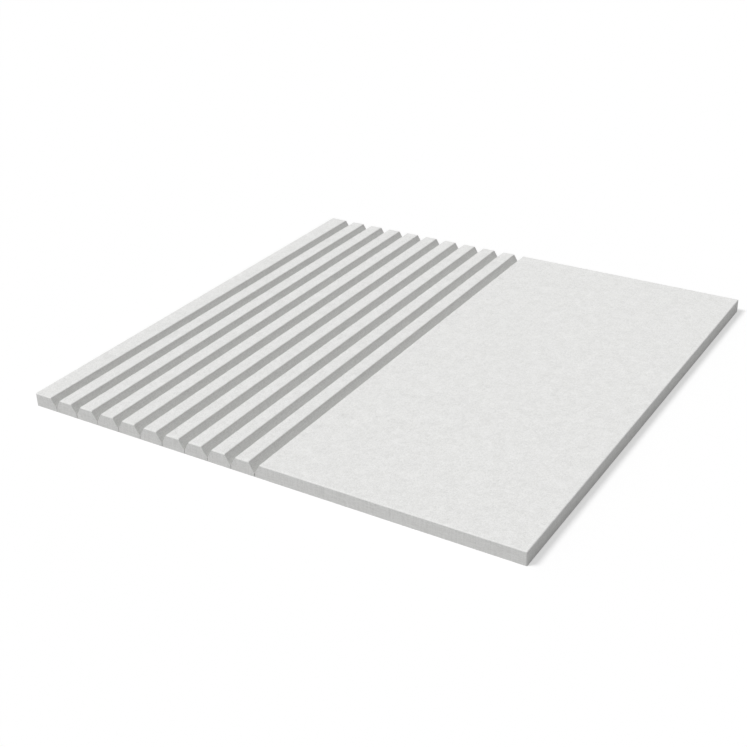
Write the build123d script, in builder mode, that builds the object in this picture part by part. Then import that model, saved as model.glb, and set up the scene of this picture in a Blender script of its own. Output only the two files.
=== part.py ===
"""Square acoustic panel, half of its face cut with V-grooves.

One board of pressed fibre. It lies on its flat back with the sound face up.
X runs across the grooves, Y along them, Z up out of the face. The origin is
the middle of the back. All sizes are in millimetres.
"""

import os

from build123d import *

# The board
PANEL_WIDTH = 600.0
PANEL_LENGTH = 600.0
PANEL_THICKNESS = 16.0
EDGE_RADIUS = 1.25

# The grooves start one margin in from the left side. The V-shaped cutter stops
# short of the back and leaves a web of board under each root.
GROOVE_COUNT = 10
GROOVE_MARGIN = 30.0
GROOVE_PITCH = 30.0
GROOVE_WIDTH = 14.0
WEB_THICKNESS = 4.0

# The knife scores on the two ends, one under each root
SCORE_WIDTH = 0.8
SCORE_DEPTH = 0.8

# How far a cutter reaches past the surface that it enters
CUTTER_OVERRUN = 5.0


def v_cutter(width, depth):
    """Outline of a V cutter with its tip at the origin, opening along +Y.

    It is as wide as asked where it breaks the surface, one depth above the tip,
    and runs on at the same slope past that surface.
    """
    height = depth + CUTTER_OVERRUN
    half_width = width / 2 / depth * height
    return [(0.0, 0.0), (half_width, height), (-half_width, height)]


groove_depth = PANEL_THICKNESS - WEB_THICKNESS
left_side = -PANEL_WIDTH / 2
back_end = PANEL_LENGTH / 2
groove_roots = [left_side + GROOVE_MARGIN + number * GROOVE_PITCH for number in range(GROOVE_COUNT)]

with BuildPart() as grooved_panel:
    # The blank board, square and plain on all six sides
    with BuildSketch(Plane.XY):
        Rectangle(PANEL_WIDTH, PANEL_LENGTH)
    extrude(amount=PANEL_THICKNESS)

    # Its four corners and the rim of the sound face are rounded over together,
    # so that each top corner closes in a small ball. The back stays sharp.
    corner_edges = grooved_panel.edges().filter_by(Axis.Z)
    face_rim = grooved_panel.faces().sort_by(Axis.Z)[-1].edges()
    fillet(corner_edges + face_rim, radius=EDGE_RADIUS)

    # The grooves are cut after that and run out through both ends, so their
    # walls slice the rounded rim and leave a crisp edge on every ridge.
    with BuildSketch(Plane.XZ):
        with Locations(*[(root, WEB_THICKNESS) for root in groove_roots]):
            Polygon(*v_cutter(GROOVE_WIDTH, groove_depth), align=None)
    extrude(amount=back_end + CUTTER_OVERRUN, both=True, mode=Mode.SUBTRACT)

    # A fine score on each end runs from every root straight down to the back.
    # Higher up its cutter stays inside the groove and meets no board.
    with BuildSketch(Plane.XY):
        with Locations(*[(root, back_end - SCORE_DEPTH) for root in groove_roots]):
            Polygon(*v_cutter(SCORE_WIDTH, SCORE_DEPTH), align=None)
        mirror(about=Plane.XZ)
    extrude(amount=PANEL_THICKNESS, mode=Mode.SUBTRACT)

grooved_panel.part.label = "grooved_panel"

os.makedirs("parts", exist_ok=True)
export_step(grooved_panel.part, "parts/grooved_panel.step")
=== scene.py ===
# %% [markdown]
# # A half-grooved acoustic panel
#
# The object is one square board of white pressed polyester fibre, a stiff felt that is glued to a wall
# to soak up sound. Its left half is cut with ten deep V-grooves and its right half is plain. This
# lesson dresses the packed model of that board: it measures the model, builds a finer mesh of the same
# shape, rolls that mesh out flat for a picture of its finishes, gives it two finishes of felt, and sets
# up a white studio and the camera.

import math

import bpy
import numpy as np
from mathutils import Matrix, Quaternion, Vector, noise


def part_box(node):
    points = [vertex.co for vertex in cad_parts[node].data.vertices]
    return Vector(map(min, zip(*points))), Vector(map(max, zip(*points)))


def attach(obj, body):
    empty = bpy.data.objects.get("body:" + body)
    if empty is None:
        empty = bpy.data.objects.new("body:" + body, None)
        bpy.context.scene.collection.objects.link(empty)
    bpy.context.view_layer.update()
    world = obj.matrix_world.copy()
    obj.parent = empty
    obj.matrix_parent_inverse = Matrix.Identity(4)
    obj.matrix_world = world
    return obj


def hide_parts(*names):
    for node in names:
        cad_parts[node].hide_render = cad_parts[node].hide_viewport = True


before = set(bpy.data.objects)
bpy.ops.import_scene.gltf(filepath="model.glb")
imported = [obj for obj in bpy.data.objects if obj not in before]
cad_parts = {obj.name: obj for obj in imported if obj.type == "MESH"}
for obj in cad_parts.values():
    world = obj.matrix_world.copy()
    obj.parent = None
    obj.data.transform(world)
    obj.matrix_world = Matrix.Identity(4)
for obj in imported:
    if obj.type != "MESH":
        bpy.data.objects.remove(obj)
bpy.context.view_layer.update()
print("nodes:", sorted(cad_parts))

# %% [markdown]
# ## Measure the board
#
# Every size that the mesh needs is already in the packed model. Typing the sizes in again would work
# until somebody changes the model, so they are read from its corner points instead. The lowest points
# above the back are the groove roots, and the points nearest to a root on the face are its two lips.

# %% The board and its grooves
MM = 0.001
NEAR = 0.01 * MM
ROOT_DECIMALS = 6

corners = np.array([vertex.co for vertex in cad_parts["grooved_panel"].data.vertices])
across, along, height = corners.T
half_width, half_length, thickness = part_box("grooved_panel")[1]

web = height[height > NEAR].min()
groove_roots = np.unique(across[abs(height - web) < NEAR].round(ROOT_DECIMALS))
face_corners = across[height > thickness - NEAR]
groove_half = abs(face_corners - groove_roots[0]).min()
print(f"board {2 * half_width / MM:.1f} x {2 * half_length / MM:.1f} x {thickness / MM:.1f} mm")
print(len(groove_roots), f"grooves, {2 * groove_half / MM:.1f} mm wide, web {web / MM:.1f} mm")

# %% The rounded rim and the end scores
rim_radius = thickness - height[across > half_width - NEAR].max()
on_back = height < NEAR
under_root = abs(across - groove_roots[0]) < NEAR
score_depth = half_length - abs(along[on_back & under_root]).max()
on_back_end = on_back & (along > half_length - NEAR)
score_half = abs(across[on_back_end] - groove_roots[0]).min()
print(f"rim radius {rim_radius / MM:.2f} mm")
print(f"score {2 * score_half / MM:.2f} mm wide, {score_depth / MM:.2f} mm deep")

# %% [markdown]
# ## Lay out the grid
#
# The sound face can be seen as a landscape: over each point of the back there is exactly one height.
# A boolean cut would give the same V-grooves, but it leaves long thin triangles that can carry no
# fine relief. A grid of stations can, as long as a station falls on every lip, root and rounding.
# Where a groove runs out over the rounded rim its lips close in a little, so more stations lie there.

# %% Helpers for the stations
GRID_SPACING = 4 * MM
RIM_STEPS = 6
STATION_DECIMALS = 7
ROUNDING_ERROR = 1e-6


def fill_gaps(stations, spacing):
    """Sort the stations and divide every gap that is wider than the spacing."""
    stations = np.unique(np.round(stations, STATION_DECIMALS))
    filled = [stations[0]]
    for start, end in zip(stations[:-1], stations[1:]):
        pieces = math.ceil((end - start) / spacing - ROUNDING_ERROR)
        filled.extend(np.linspace(start, end, pieces + 1)[1:])
    return np.array(filled)


def rim_stations(half_size):
    """Stations over the rounded rim, at equal angles round its quarter circle, on both sides."""
    angles = np.linspace(0, math.pi / 2, RIM_STEPS + 1)
    outer = half_size - rim_radius + rim_radius * np.sin(angles)
    return np.concatenate([outer, -outer])


print(len(rim_stations(half_width)), "stations over two opposite rims")

# %% Stations across and along the board
LIP_SOFTNESS = 0.7 * MM
LIP_SHARES = np.linspace(-1, 1, 5)
RUN_OUT_SHARES = np.linspace(0.7, 1.5, 4)

wall_slope = (thickness - web) / groove_half
lip_reach = LIP_SOFTNESS / wall_slope
rim_drop = rim_radius / wall_slope
lip_offsets = groove_half + lip_reach * LIP_SHARES
run_out_offsets = groove_half - rim_drop * RUN_OUT_SHARES
groove_offsets = np.concatenate([[0, score_half], run_out_offsets, lip_offsets])

across_stations = [rim_stations(half_width)]
for root in groove_roots:
    across_stations.append(root + groove_offsets)
    across_stations.append(root - groove_offsets)
across_stations = fill_gaps(np.concatenate(across_stations), GRID_SPACING)
along_stations = fill_gaps(rim_stations(half_length), GRID_SPACING)
print(len(across_stations), "stations across,", len(along_stations), "along")

# %% [markdown]
# ## Round the rim
#
# The rim of the face and the four upright corners share one small radius, so each top corner is an
# eighth of a ball. A square grid can't wrap a ball without pinching. Here the outermost square of the
# grid at each corner is pressed into a quarter of a disc first, and the height then follows the ball.

# %% The plan of the grid and the height of its rim
grid_x, grid_y = np.meshgrid(across_stations, along_stations, indexing="ij")
over_x = np.clip((abs(grid_x) - half_width + rim_radius) / rim_radius, 0, 1)
over_y = np.clip((abs(grid_y) - half_length + rim_radius) / rim_radius, 0, 1)
round_x = over_x * np.sqrt(1 - over_y**2 / 2)
round_y = over_y * np.sqrt(1 - over_x**2 / 2)


def plan(grid, half_size, rounding):
    """Places along one axis: as on the grid inside, and pressed into the disc over the rim."""
    return np.sign(grid) * (np.minimum(abs(grid), half_size - rim_radius) + rounding * rim_radius)


plan_x = plan(grid_x, half_width, round_x)
plan_y = plan(grid_y, half_length, round_y)
ball = np.sqrt(np.clip(1 - round_x**2 - round_y**2, 0, 1))
rim_height = thickness - rim_radius * (1 - ball)
print(f"rim falls to {rim_height.min() / MM:.2f} mm")

# %% [markdown]
# ## Cut the grooves
#
# Each height is the lower of two surfaces: the face with its rounded rim, and the walls of the nearest
# groove. A plain minimum would leave a knife edge, and cut felt never has one, so a smooth minimum
# rounds the lip by a fraction of a millimetre. The rounding drifts along each lip, as the softened
# edge of a real cut does. A shallow relief lets the pressed face dip by a tenth of a millimetre.

# %% Heights over the grid
RELIEF_DEPTH = 0.12 * MM
RELIEF_LENGTH = 38 * MM
RELIEF_LAYER = 1.5
LIP_DRIFT_LENGTH = 45 * MM
LIP_DRIFT_LAYER = 7.5
LEAST_SOFTNESS = 0.5 * LIP_SOFTNESS


def soft_noise(length, layer):
    """Smooth noise from 0 to 1 over the grid: one layer of it, with bumps of about this length."""
    places = zip(grid_x.flat, grid_y.flat)
    values = [noise.noise(Vector((x / length, y / length, layer))) for x, y in places]
    return np.clip(0.5 + 0.5 * np.array(values), 0, 1).reshape(grid_x.shape)


def smooth_minimum(first, second, softness):
    """The lower of two heights, rounded where they meet, and how close to that meeting a point is."""
    closeness = np.clip(1 - abs(first - second) / softness, 0, 1)
    return np.minimum(first, second) - softness * closeness**2 / 4, closeness


from_root = abs(plan_x[..., None] - groove_roots).min(axis=-1)
wall_height = web + wall_slope * from_root
relief = RELIEF_DEPTH * soft_noise(RELIEF_LENGTH, RELIEF_LAYER)
drift = soft_noise(LIP_DRIFT_LENGTH, LIP_DRIFT_LAYER)
softness = LEAST_SOFTNESS + (LIP_SOFTNESS - LEAST_SOFTNESS) * drift
face_height, lip = smooth_minimum(rim_height - relief, wall_height, softness)
print(f"heights from {face_height.min() / MM:.2f} to {face_height.max() / MM:.2f} mm")

# %% [markdown]
# ## Score the two ends
#
# On each end of the board a fine knife score runs from every root down to the back. One column of the
# grid lies on each root, so the score is made by drawing the end of that column into the board. The
# points behind it move less and less, which keeps them in order and the mesh free of folds.

# %% Draw in the columns on the roots
on_root = from_root < NEAR
in_score = np.where(on_root, over_y, 0)
plan_y -= np.sign(plan_y) * score_depth * in_score
print("columns drawn in:", int(on_root[:, 0].sum()))

# %% [markdown]
# ## Close the board
#
# The grid becomes the sound face. Its outer ring of points, dropped to the floor, gives the four cut
# sides, and the same ring closes the flat back. Faces that a blade has cut take a second finish. Each
# point also carries two values for the finishes: how worn it is, because hands and blades fluff up the
# felt along its edges, which the skin paints lighter as wear and as a painted highlight, and how deep
# it lies in a score, where the light hardly reaches and the cut finish paints shade.

# %% Points and faces
rows, columns = grid_x.shape
index = np.arange(rows * columns).reshape(rows, columns)
face_points = np.stack([plan_x, plan_y, face_height], axis=-1).reshape(-1, 3)
sides = [index[:, 0], index[-1], index[::-1, -1], index[0, ::-1]]
ring = np.concatenate([side[:-1] for side in sides])
floor_points = face_points[ring] * (1, 1, 0)
floor_ring = np.arange(len(ring)) + len(face_points)

quad_corners = [index[:-1, :-1], index[1:, :-1], index[1:, 1:], index[:-1, 1:]]
face_quads = np.stack(quad_corners, axis=-1).reshape(-1, 4)
side_quads = np.stack([ring, floor_ring, np.roll(floor_ring, -1), np.roll(ring, -1)], axis=-1)
back_polygon = floor_ring[::-1]

points = np.concatenate([face_points, floor_points])
faces = face_quads.tolist() + side_quads.tolist() + [back_polygon.tolist()]
mesh = bpy.data.meshes.new("fibre_board")
mesh.from_pydata(points.tolist(), [], faces)
print(len(points), "points,", len(faces), "faces")

# %% Which finish each face takes
SKIN_SLOT = 0
CUT_SLOT = 1

inside_groove = from_root < groove_half - lip_reach
quad_is_cut = inside_groove.reshape(-1)[face_quads].mean(axis=1) > 0.5
side_slots = np.full(len(side_quads), CUT_SLOT)
slots = np.concatenate([np.where(quad_is_cut, CUT_SLOT, SKIN_SLOT), side_slots, [SKIN_SLOT]])
mesh.polygons.foreach_set("material_index", slots)
print(int((slots == CUT_SLOT).sum()), "cut faces,", int((slots == SKIN_SLOT).sum()), "pressed faces")

# %% The values that each point carries
def give_points(name, on_face, on_floor):
    """Store one value for each point of the face and of the floor ring, under a name."""
    values = np.concatenate([on_face.reshape(-1), on_floor])
    mesh.attributes.new(name, "FLOAT", "POINT").data.foreach_set("value", values)
    print(name, "on", int((values > 0).sum()), "points")


# Near the lips and the rim: fluffed-up felt, which the skin paints lighter as wear and as a painted
# highlight.
wear_and_highlight = np.maximum(lip, np.maximum(over_x, over_y))
give_points("wear_and_highlight", wear_and_highlight, np.zeros(len(ring)))
# Deep in a score: the cut finish paints shade there.
give_points("in_score", in_score, in_score.reshape(-1)[ring])

# %% [markdown]
# ## Roll it out flat
#
# When the board leaves Blender its finishes are painted into a picture, and a map gives every corner of
# a face its place there. Blender can lay out such a map by itself, but it cuts each groove wall into
# an island of its own and gives the hidden back as much room as the face. Here the whole face is rolled
# out in one island: a point's place is the length of the way to it, up and down over the ridges. The
# four sides stand beside it as strips, and the back is squeezed into the room that is left.

# %% The face, rolled out
def way_along(*coordinates):
    """The length of the way along a line of points, from the first point to each of them."""
    steps = np.hypot(*[np.diff(values) for values in coordinates])
    return np.concatenate([[0], np.cumsum(steps)])


middle_column = columns // 2
plain_row = rows * 9 // 10
face_across = way_along(plan_x[:, middle_column], face_height[:, middle_column])
face_along = way_along(plan_y[plain_row], face_height[plain_row])
face_map = np.stack(np.meshgrid(face_across, face_along, indexing="ij"), axis=-1).reshape(-1, 2)
print(f"face rolled out to {face_across[-1] / MM:.0f} x {face_along[-1] / MM:.0f} mm")

# %% The four sides and the back beside it
ISLAND_GAP = 3 * MM


def strip_map(side, left):
    """Places for the corners of one side's faces: down the side goes right, and along it goes up."""
    x, y, z = face_points[side].T
    along_side = way_along(x, y)
    bottom = np.full(len(side), left + thickness)
    top = bottom - z
    starts = [(top[:-1], along_side[:-1]), (bottom[:-1], along_side[:-1])]
    ends = [(bottom[1:], along_side[1:]), (top[1:], along_side[1:])]
    return np.array(starts + ends).transpose(2, 0, 1)


strip_left = face_across[-1] + ISLAND_GAP
strip_step = thickness + ISLAND_GAP
strips = [strip_map(side, strip_left + number * strip_step) for number, side in enumerate(sides)]
sheet_size = ISLAND_GAP + strip_left + len(sides) * strip_step

back_low = face_along[-1] + ISLAND_GAP
back_room = sheet_size - 2 * ISLAND_GAP - back_low
back_u = (half_width - floor_points[:, 0]) / (2 * half_width) * face_across[-1]
back_v = back_low + (half_length + floor_points[:, 1]) / (2 * half_length) * back_room
back_map = np.stack([back_u, back_v], axis=-1)[::-1]
print(f"sheet {sheet_size / MM:.0f} mm square, with the back squeezed to {back_room / MM:.0f} mm")

# %% Store the map under the name that the export looks for
MAP_NAME = "OFBake"

face_corner_map = face_map[face_quads].reshape(-1, 2)
side_corner_map = np.concatenate(strips).reshape(-1, 2)
sheet = np.concatenate([face_corner_map, side_corner_map, back_map])
corner_places = (sheet + ISLAND_GAP) / sheet_size
mesh.uv_layers.new(name=MAP_NAME).uv.foreach_set("vector", corner_places.reshape(-1))
print(f"{len(corner_places)} corners placed from {corner_places.min():.3f} to {corner_places.max():.3f}")

# %% [markdown]
# ## Shade it cleanly
#
# Smooth shading over a fine rounding next to a wide flat face smears the light, because each point
# averages its neighbours. Weighted normals let the large faces win, so the flats stay flat and only
# the roundings bend. Edges sharper than a set angle, such as the roots and the back, stay hard.

# %% Place the board and set its normals
SHARP_ANGLE = math.radians(38)
LARGE_FACES_ONLY = 100

mesh.shade_smooth()
mesh.set_sharp_from_angle(angle=SHARP_ANGLE)
board = bpy.data.objects.new("fibre_board", mesh)
bpy.context.scene.collection.objects.link(board)
weighting = board.modifiers.new("flat faces win", "WEIGHTED_NORMAL")
weighting.keep_sharp = True
weighting.weight = LARGE_FACES_ONLY

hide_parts("grooved_panel")
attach(board, "root")

# %% [markdown]
# ## A pencil for shader sums
#
# A finish is a sum of patterns, and sums read best as sums. This small class holds one socket of a
# material. Adding, multiplying or subtracting two of them adds the Math node that does it, and one
# method adds any other node from its type, its settings and its sockets.

# %% The socket class
class Wire:
    """One output of a material's node, used like a number."""

    def __init__(self, tree, socket=None):
        self.tree = tree
        self.socket = socket

    def node(self, kind, sockets=(), settings=(), output=0):
        """Add a node: first its settings, then a value or a link for each socket."""
        made = self.tree.nodes.new(kind)
        for name, value in dict(settings).items():
            setattr(made, name, value)
        for name, value in dict(sockets).items():
            if isinstance(value, Wire):
                self.tree.links.new(value.socket, made.inputs[name])
            else:
                made.inputs[name].default_value = value
        return Wire(self.tree, made.outputs[output] if made.outputs else None)

    def math(self, operation, first, second=0.0):
        """A Math node on one or two values."""
        return self.node("ShaderNodeMath", {0: first, 1: second}, {"operation": operation})

    def __add__(self, other):
        return self.math("ADD", self, other)

    def __radd__(self, other):
        return self.math("ADD", other, self)

    def __sub__(self, other):
        return self.math("SUBTRACT", self, other)

    def __rsub__(self, other):
        return self.math("SUBTRACT", other, self)

    def __mul__(self, other):
        return self.math("MULTIPLY", self, other)

    def __rmul__(self, other):
        return self.math("MULTIPLY", other, self)

    def __abs__(self):
        return self.math("ABSOLUTE", self)

    def ramp(self, low, high):
        """0 below the low value, 1 above the high one and a smooth step between them."""
        limits = {"Value": self, "From Min": low, "From Max": high}
        return self.node("ShaderNodeMapRange", limits, {"interpolation_type": "SMOOTHSTEP"})

    def vector(self, operation, other):
        """Vector Math on this vector and another one."""
        return self.node("ShaderNodeVectorMath", {0: self, 1: other}, {"operation": operation})

    def moved(self, offset):
        """A vector, plus another one."""
        return self.vector("ADD", offset)

    def in_units(self, x, y, z):
        """A vector, counted in units of these sizes, which draws a pattern out to the same sizes."""
        return self.vector("DIVIDE", (x, y, z))

    def turned(self, angle):
        """A vector, turned about the board's upright axis."""
        turn = {"Vector": self, "Angle": angle}
        return self.node("ShaderNodeVectorRotate", turn, {"rotation_type": "Z_AXIS"})

    def noise(self, size=1.0, detail=1.0, output="Fac"):
        """Noise that is read at this vector, with bumps of about the given size."""
        sockets = {"Vector": self, "Scale": 1 / size, "Detail": detail}
        return self.node("ShaderNodeTexNoise", sockets, output=output)

    def tint(self, first, second):
        """A colour between two others, with this value as the share of the second."""
        # A Mix node has sockets for every kind of data: these are its share and its two colours.
        sockets = {0: self, 6: first, 7: second}
        return self.node("ShaderNodeMix", sockets, {"data_type": "RGBA"}, output=2)

    def bump(self, depth, strength):
        """The normal of a surface that stands up by the given depth where this value is 1."""
        return self.node("ShaderNodeBump", {"Height": self, "Distance": depth, "Strength": strength})


print("Wire:", Wire.__doc__)

# %% The start and the end of a finish
def new_finish(name):
    """An empty material and a pencil for its nodes."""
    material = bpy.data.materials.new(name)
    material.use_nodes = True
    material.node_tree.nodes.clear()
    return material, Wire(material.node_tree)


def add_finish(material, pencil, sockets):
    """End a finish in one shader with these sockets, and give the board its next material slot."""
    shader = pencil.node("ShaderNodeBsdfPrincipled", sockets)
    pencil.node("ShaderNodeOutputMaterial", {"Surface": shader})
    mesh.materials.append(material)
    print("slot", len(mesh.materials) - 1, material.name, len(material.node_tree.nodes), "nodes")


print("new_finish:", new_finish.__doc__)
print("add_finish:", add_finish.__doc__)

# %% [markdown]
# ## Fibres
#
# Pressed felt is a mat of curled fibres that lie flat and cross in every direction. Real hairs would
# take millions of curves, so the mat is drawn by noise. Where a noise passes through its middle value
# it draws long closed lines. Noise that is stretched along one direction draws them as strands, a
# slower noise that bends the place makes them curl, and several layers, each turned by an angle in
# radians, cross each other.

# %% Places and lines
NOISE_MIDDLE = 0.5
LINE_REACH = 0.09


def board_millimetres(pencil):
    """The place on the board, in millimetres from the middle of its back."""
    return pencil.node("ShaderNodeTexCoord", output="Object").in_units(MM, MM, MM)


def point_value(pencil, name):
    """A value that the points of the board carry."""
    return pencil.node("ShaderNodeAttribute", settings={"attribute_name": name}, output="Fac")


def curled(place, reach, length):
    """The place, pushed about by a slow noise so that straight patterns curl."""
    push = place.noise(length, output="Color").moved((-NOISE_MIDDLE, -NOISE_MIDDLE, -NOISE_MIDDLE))
    return place.moved(push.vector("MULTIPLY", (reach, reach, reach)))


def drawn_lines(pattern):
    """1 on the lines where a noise passes its middle value, and 0 a little way off them."""
    return 1 - abs(pattern - NOISE_MIDDLE).ramp(0.0, LINE_REACH)


print(f"lines take in noise from {NOISE_MIDDLE - LINE_REACH:.2f} to {NOISE_MIDDLE + LINE_REACH:.2f}")

# %% A mat of fibres
FIBRE_ANGLES = [0.2, 0.9, 1.5, 2.1, 2.8]
STRAY_ANGLES = [0.6, 1.7, 2.6]
STRAY_FROM, STRAY_FULL = 0.74, 0.82
LAYER_STEP = np.array((31.0, 17.0, 5.0))


def strand_noise(place, layer, angle, length, spacing):
    """Noise drawn out along one direction, from another part of the pattern for each layer."""
    shifted = place.moved(tuple(LAYER_STEP * layer))
    return shifted.turned(angle).in_units(length, spacing, spacing).noise()


def fibre_mat(place, length, spacing):
    """Crossing strands: 0 in the gaps between them, and towards 1 where many cross."""
    lines = []
    for layer, angle in enumerate(FIBRE_ANGLES):
        lines.append(drawn_lines(strand_noise(place, layer, angle, length, spacing)))
    return sum(lines) * (1 / len(lines))


def stray_fibres(place, length, spacing):
    """A few single fibres in three directions, far apart."""
    fibres = []
    for layer, angle in enumerate(STRAY_ANGLES):
        fibres.append(strand_noise(place, -layer, angle, length, spacing).ramp(STRAY_FROM, STRAY_FULL))
    return sum(fibres)


print(len(FIBRE_ANGLES), "layers in a mat,", len(STRAY_ANGLES), "layers of stray fibres")

# %% [markdown]
# ## The pressed skin
#
# Face and back were pressed against hot plates, so their fibres lie flat and close. From a step away
# the skin looks plain white with a faint marl, and from close by the mat of fibres shows. One noise
# could only give blotches, like stone. A coarse mat for the step away, a fine one for close by, and a
# few stray fibres keep the grain of felt at both distances. Worn edges are fluffed up and painted
# lighter, which is partly wear and partly a painted highlight along the lips and the rim. The sizes
# are in millimetres, and the shares in the sums were set one by one.

# %% Finish of the face and the back
SKIN_SHADE = (0.66, 0.66, 0.645, 1)
SKIN_LIGHT = (0.93, 0.93, 0.92, 1)
SKIN_CURL = {"reach": 4.0, "length": 9.0}
CLOUD_SIZE = 14.0
COARSE_MAT = {"length": 11.0, "spacing": 1.6}
FINE_MAT = {"length": 4.0, "spacing": 0.5}
STRAYS = {"length": 10.0, "spacing": 1.1}
SKIN_RELIEF = 0.12 * MM


def pressed_skin():
    """The white felt of the face and the back."""
    material, pencil = new_finish("pressed_skin")
    place = board_millimetres(pencil)
    bent = curled(place, **SKIN_CURL)
    cloud = place.noise(CLOUD_SIZE, detail=2.0)
    coarse = fibre_mat(bent, **COARSE_MAT)
    fine = fibre_mat(bent, **FINE_MAT)
    stray = stray_fibres(bent, **STRAYS)
    # Lighter along the edges: partly wear, partly a painted highlight.
    wear_and_highlight = point_value(pencil, "wear_and_highlight")
    tone = 0.05 + 0.4 * cloud + 0.9 * coarse + 0.5 * fine + 0.2 * wear_and_highlight - 0.5 * stray
    relief = (0.4 * coarse + 0.6 * fine) * (1 + 1.5 * wear_and_highlight)
    felt = {
        "Base Color": tone.tint(SKIN_SHADE, SKIN_LIGHT),
        "Roughness": 0.98 - 0.12 * coarse,
        "Specular IOR Level": 0.25,
        "Sheen Weight": 0.15,
        "Sheen Roughness": 0.6,
        "Normal": relief.bump(SKIN_RELIEF, strength=0.5),
    }
    add_finish(material, pencil, felt)


pressed_skin()

# %% [markdown]
# ## The cut faces
#
# The board is laid up from many thin webs of fibre, which barbed needles punch together before the
# press. Where a blade has gone through it, the cut shows fine layers that run level with the face,
# strands and fibre ends between them, and faint upright tufts where the needles went. A noise that is
# drawn out along the board gives the layers and one that is drawn out upwards gives the tufts. Both
# fill the whole board like a block of wood, so they are right on every wall, whichever way it faces.
# Light sinks in between the cut ends, so a cut is painted a little greyer than the skin; this grey is
# partly a painted shade that keeps the groove walls darker than the face. A knife leaves a slit that
# closes again behind its mouth, so the bottom of each score is painted dark as painted shade. Sizes
# and shares are given as for the skin.

# %% Finish of the groove walls and the sides
# The cut tones are greyer than the skin's, partly as painted shade on the groove walls and sides.
CUT_SHADE = (0.58, 0.58, 0.565, 1)
CUT_LIGHT = (0.82, 0.82, 0.81, 1)
# Painted shade at the bottom of each score.
SCORE_PAINTED_SHADE = (0.16, 0.16, 0.155, 1)
CUT_CURL = {"reach": 0.8, "length": 12.0}
LAYER_SIZES = (14.0, 14.0, 0.9)
STRAND_SIZES = (5.0, 5.0, 0.45)
TUFT_SIZES = (1.6, 1.6, 10.0)
FIBRE_END_SIZE = 0.6
CUT_RELIEF = 0.18 * MM


def cut_fibre():
    """The cut felt of the groove walls and the four sides."""
    material, pencil = new_finish("cut_fibre")
    place = board_millimetres(pencil)
    bent = curled(place, **CUT_CURL)
    layers = bent.in_units(*LAYER_SIZES).noise(detail=2.0)
    strands = drawn_lines(bent.in_units(*STRAND_SIZES).noise())
    tufts = bent.in_units(*TUFT_SIZES).noise()
    ends = place.noise(FIBRE_END_SIZE)
    tone = 0.4 * layers + 0.3 * strands + 0.35 * tufts + 0.3 * ends
    relief = 0.4 * layers + 0.4 * strands + 0.2 * tufts + 0.4 * ends
    open_cut = tone.ramp(0.1, 1.0).tint(CUT_SHADE, CUT_LIGHT)
    felt = {
        # The bottom of each score gets painted shade.
        "Base Color": point_value(pencil, "in_score").tint(open_cut, SCORE_PAINTED_SHADE),
        "Roughness": 1.0 - 0.08 * layers,
        "Specular IOR Level": 0.2,
        "Sheen Weight": 0.2,
        "Sheen Roughness": 0.6,
        "Normal": relief.bump(CUT_RELIEF, strength=0.6),
    }
    add_finish(material, pencil, felt)


cut_fibre()

# %% [markdown]
# ## A white floor
#
# The board lies on a plain white floor that keeps its shadow. A floor of pure white paint would throw
# so much light back that the sides of the board turn as bright as its face. So the paint is a middle
# grey, and a glow that only the camera, mirrors and glass can see makes up the rest of the white. The
# floor lies a hair below the board, because two faces in one plane would flicker through each other.

# %% The floor and its glow
FLOOR_REACH = 30.0
FLOOR_DROP = 0.05 * MM
FLOOR_PAINT = 0.62
LEVEL_LIGHT = 0.92


def grey(level):
    """A neutral colour of the given level."""
    return (level, level, level, 1)


def seen_rays(pencil):
    """1 for rays from the camera, mirrors and glass, and 0 for the light that falls on things."""
    rays = ["Is Camera Ray", "Is Glossy Ray", "Is Transmission Ray"]
    kinds = [pencil.node("ShaderNodeLightPath", output=ray) for ray in rays]
    return pencil.math("MINIMUM", sum(kinds), 1.0)


def studio_floor():
    """Grey paint under a glow that makes it white to the eye."""
    material, pencil = new_finish("studio_floor")
    paint = pencil.node("ShaderNodeBsdfDiffuse", {"Color": grey(FLOOR_PAINT)})
    glow_colour = seen_rays(pencil).tint(grey(0), grey(1 - FLOOR_PAINT * LEVEL_LIGHT))
    glow = pencil.node("ShaderNodeEmission", {"Color": glow_colour})
    both = pencil.node("ShaderNodeAddShader", {0: paint, 1: glow})
    pencil.node("ShaderNodeOutputMaterial", {"Surface": both})
    return material


floor_mesh = bpy.data.meshes.new("studio_floor")
corner_signs = [(-1, -1), (1, -1), (1, 1), (-1, 1)]
floor_corners = [(x * FLOOR_REACH, y * FLOOR_REACH, 0) for x, y in corner_signs]
floor_mesh.from_pydata(floor_corners, [], [(0, 1, 2, 3)])
floor_mesh.materials.append(studio_floor())
floor = bpy.data.objects.new("studio_floor", floor_mesh)
floor.location.z = -FLOOR_DROP
bpy.context.scene.collection.objects.link(floor)
print(f"floor {2 * FLOOR_REACH:.0f} m wide")

# %% [markdown]
# ## Light
#
# Two lights are enough: an even sky that fills every shadow, and one broad sun high on the front left.
# A low sun straight from the left would draw the strongest shadows in the grooves, but from that side
# the sunlit walls would be as bright as the face and the grooves would fade into it. This one leaves
# both walls of a groove darker than the face, and gives the front and the right side a tone of their
# own. Together the lights give a level surface almost a whole measure of light, so a colour renders
# about as it is written.

# %% Sky and sun
SKY_LIGHT = 0.39
SUN_FROM = Vector((-0.42, -0.36, 0.83)).normalized()
SUN_ANGLE = math.radians(22)

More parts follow.
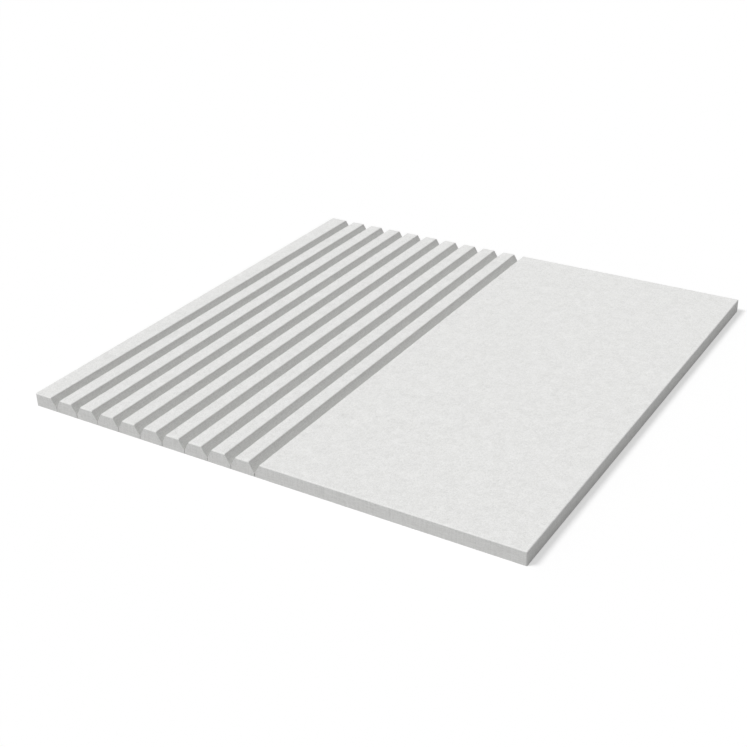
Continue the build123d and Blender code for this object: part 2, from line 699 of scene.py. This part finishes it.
world = bpy.data.worlds.new("studio_sky")
world.use_nodes = True
world.node_tree.nodes.clear()
sky = Wire(world.node_tree)
background = sky.node("ShaderNodeBackground", {"Color": seen_rays(sky).tint(grey(SKY_LIGHT), grey(1))})
sky.node("ShaderNodeOutputWorld", {"Surface": background})
bpy.context.scene.world = world

sun_data = bpy.data.lights.new("studio_sun", "SUN")
sun_data.energy = (LEVEL_LIGHT - SKY_LIGHT) * math.pi / SUN_FROM.z
sun_data.angle = SUN_ANGLE
sun = bpy.data.objects.new("studio_sun", sun_data)
sun.rotation_mode = "QUATERNION"
sun.rotation_quaternion = SUN_FROM.to_track_quat("Z", "Y")
bpy.context.scene.collection.objects.link(sun)
print(f"sun strength {sun_data.energy:.2f}, {math.degrees(math.asin(SUN_FROM.z)):.0f} degrees high")

# %% [markdown]
# ## Camera
#
# The board is seen from above its plain front corner, with the grooves running away to the upper
# right. The place, the lens and the slight roll were found by matching the board's corners and groove
# ends with the picture. Some of the picture's off-centre crop could be had by shifting the lens, but
# a shift would push the board out of the frame in views from other sides, so there is none.

# %% Camera and view
CAMERA_PLACE = Vector((0.6796, -1.1379, 0.6865))
CAMERA_AIM = Vector((0.0053, -0.0814, 0.016))
CAMERA_ROLL = math.radians(-1.84)
CAMERA_LENS = 61.09
SENSOR_WIDTH = 36.0

camera_data = bpy.data.cameras.new("camera")
camera_data.lens = CAMERA_LENS
camera_data.sensor_width = SENSOR_WIDTH
camera = bpy.data.objects.new("camera", camera_data)
camera.location = CAMERA_PLACE
camera.rotation_mode = "QUATERNION"
level_view = (CAMERA_AIM - CAMERA_PLACE).to_track_quat("-Z", "Y")
camera.rotation_quaternion = level_view @ Quaternion((0, 0, 1), CAMERA_ROLL)
bpy.context.scene.collection.objects.link(camera)
bpy.context.scene.camera = camera
bpy.context.scene.view_settings.view_transform = "Standard"
print(f"camera {(CAMERA_AIM - CAMERA_PLACE).length:.2f} m away, {CAMERA_LENS:.0f} mm lens")

# %% [markdown]
# ## The size
#
# Dressing the board must not change its size.
